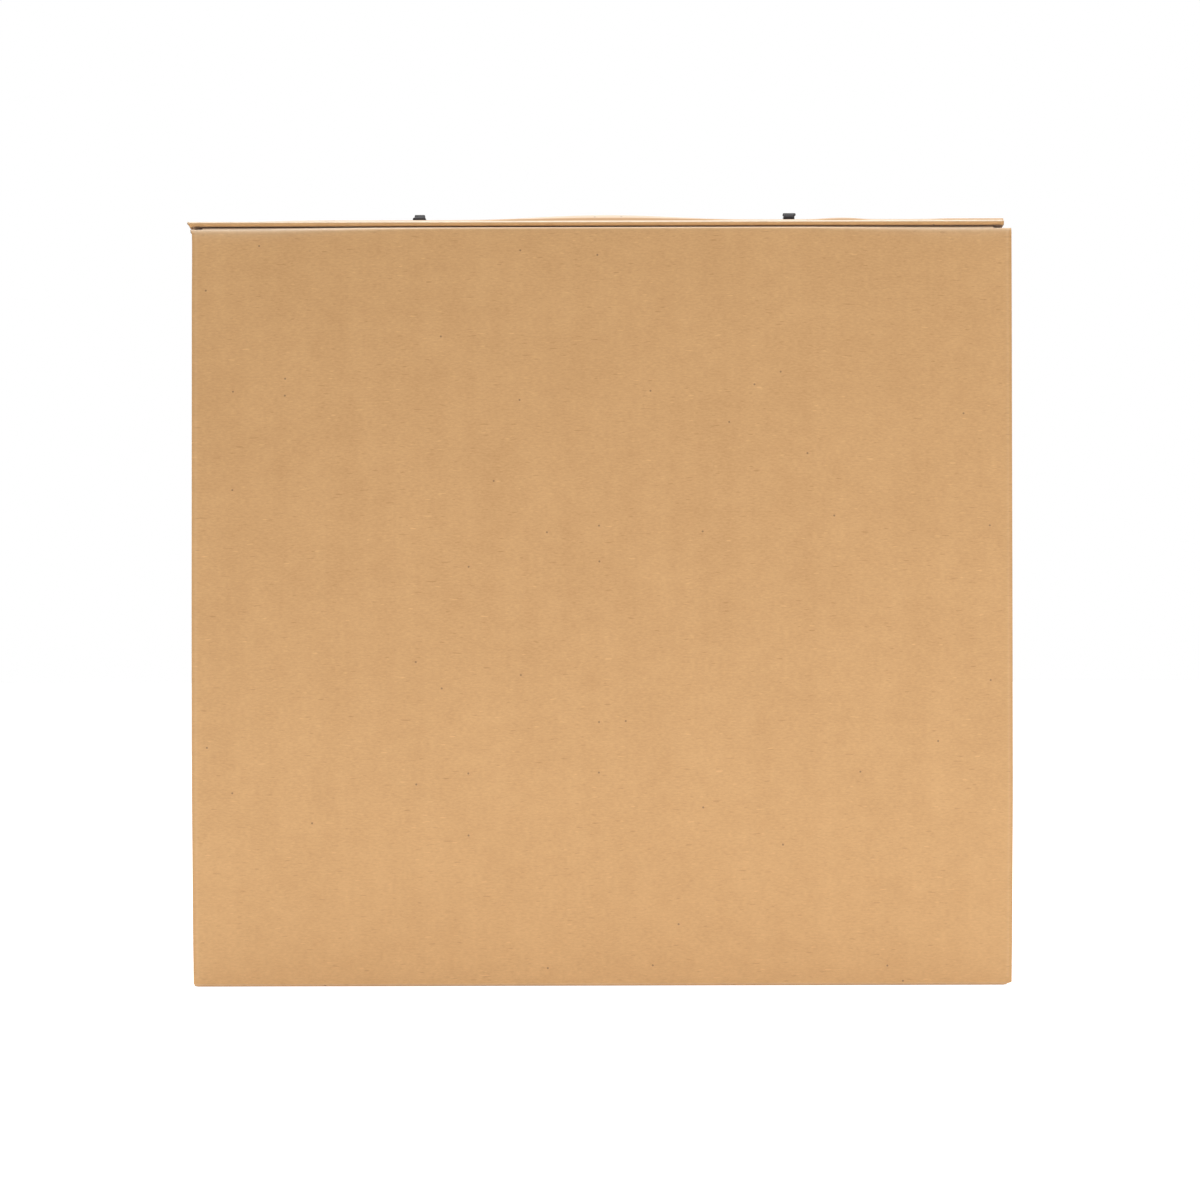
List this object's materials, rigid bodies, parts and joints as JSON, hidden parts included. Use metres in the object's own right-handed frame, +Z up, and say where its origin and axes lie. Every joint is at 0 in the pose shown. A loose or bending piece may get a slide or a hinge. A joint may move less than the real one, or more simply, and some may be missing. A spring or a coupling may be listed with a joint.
{
  "type": "carry case box",
  "caption": "Upright kraft corrugated carry case whose front lid tucks under a double top wall, with a black handle that folds flat on top.",
  "frame": {"origin": "middle of the base, on the surface that the closed case stands on", "axes": "+X across the width, to the right as the lid is faced; +Y from the lid to the back; +Z up"},
  "size_m": [0.3328, 0.1, 0.3159],
  "materials": {
    "kraft_board": "matt brown kraft liner",
    "handle_plastic": "black moulded plastic with a soft sheen"
  },
  "bodies": {
    "case": {"case": "kraft_board", "clip_left": "handle_plastic", "clip_right": "handle_plastic"},
    "lid": {"lid": "kraft_board"},
    "handle": {"handle": "handle_plastic"}
  },
  "joints": [
    {"name": "lid_hinge", "type": "hinge", "parent": "case", "child": "lid", "pos_m": [0, -0.05, 0], "axis": [1, 0, 0], "range_deg": [0, 90]},
    {"name": "handle_swing", "type": "hinge", "parent": "case", "child": "handle", "pos_m": [0.0023, 0, 0.31125], "axis": [1, 0, 0], "range_deg": [0, 172]}
  ]
}
